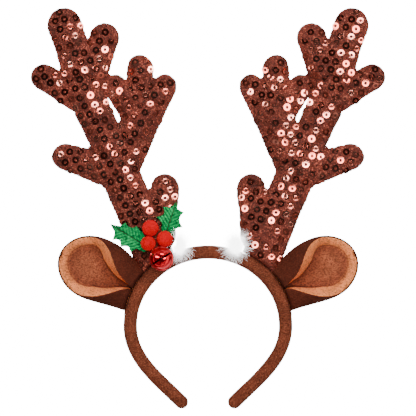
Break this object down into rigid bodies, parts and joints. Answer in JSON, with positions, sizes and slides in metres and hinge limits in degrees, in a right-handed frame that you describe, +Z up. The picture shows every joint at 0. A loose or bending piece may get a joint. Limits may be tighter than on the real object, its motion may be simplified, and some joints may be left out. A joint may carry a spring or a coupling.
{
  "type": "antler headband",
  "caption": "Padded plush headband, open at its lower ends, with stuffed sequinned antlers, folded ears, fur puffs, holly leaves, berries and a jingle bell.",
  "frame": {"origin": "on the surface that the headband lies on, below the middle of its box: it lies on its back", "axes": "+Z up, from the back to the front of the headband; +Y from the open ends of the band to the tips of the antlers; +X across, toward the side without the holly"},
  "size_m": [0.3162, 0.3562, 0.0378],
  "materials": {
    "velour": "brown velour with a short nap",
    "sequin_cloth": "reddish brown glitter cloth sewn with small ring sequins",
    "ear_cloth": "dark brown velour",
    "lining_cloth": "tan velour",
    "fur": "white fluffy trim",
    "foil": "shiny green satin foil",
    "pompom": "red fluffy pompom",
    "bell_metal": "glossy red metal",
    "steel": "plain"
  },
  "bodies": {
    "root": {"band": "velour", "antler_left": "sequin_cloth", "antler_right": "sequin_cloth", "ear_shell_left": "ear_cloth", "ear_shell_right": "ear_cloth", "ear_lining_left": "lining_cloth", "ear_lining_right": "lining_cloth", "fur_left": "fur", "fur_right": "fur", "leaf_outer": "foil", "leaf_upper": "foil", "berry_top": "pompom", "berry_left": "pompom", "berry_right": "pompom", "bell": "bell_metal", "bell_pellet": "steel"}
  },
  "joints": []
}
